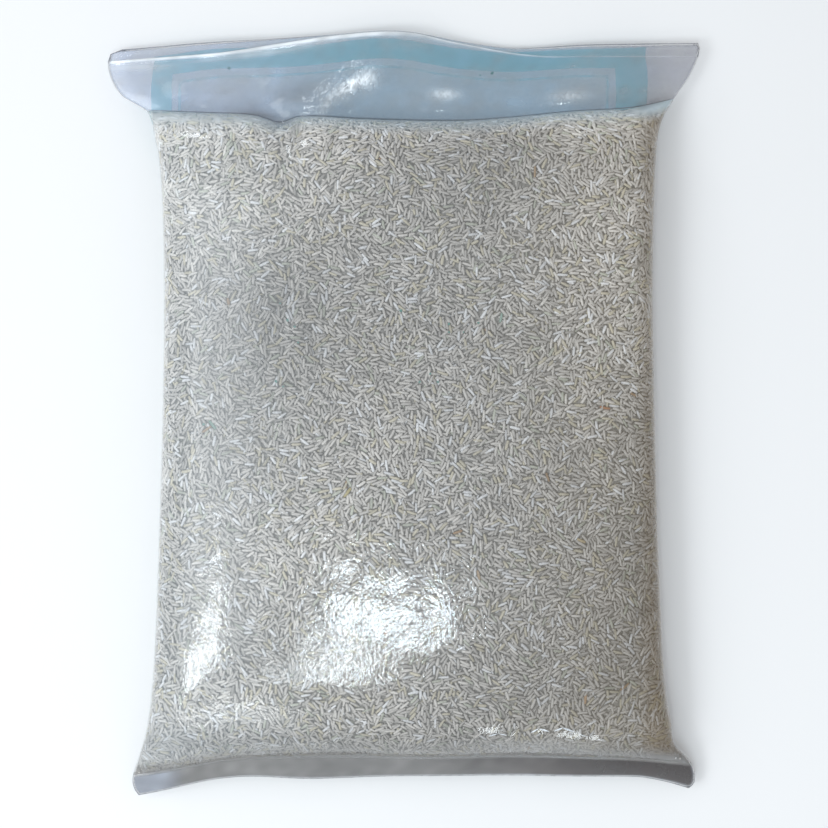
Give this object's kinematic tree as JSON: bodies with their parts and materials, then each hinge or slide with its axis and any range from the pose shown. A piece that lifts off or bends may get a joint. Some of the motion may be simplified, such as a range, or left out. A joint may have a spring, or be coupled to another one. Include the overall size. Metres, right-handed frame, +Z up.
{
  "type": "bag of rice",
  "caption": "Clear plastic pillow bag full of white long grain rice, lying on its back, with an empty film header at the top and a heat sealed fin at the foot.",
  "frame": {"origin": "under the middle of the bag's bounding box, at the level of the flat underside that it lies on", "axes": "+Z up, out of the front of the bag; +Y towards the empty header at the bag's top; +X to the right of someone who reads the bag"},
  "size_m": [0.3802, 0.491, 0.0609],
  "materials": {
    "rice_in_film": "glossy film drawn tight over white rice grains",
    "film": "clear, slightly hazy polythene film",
    "rice": "raw white rice, faintly translucent"
  },
  "bodies": {
    "root": {"rice_bag": "rice_in_film"}
  },
  "joints": []
}
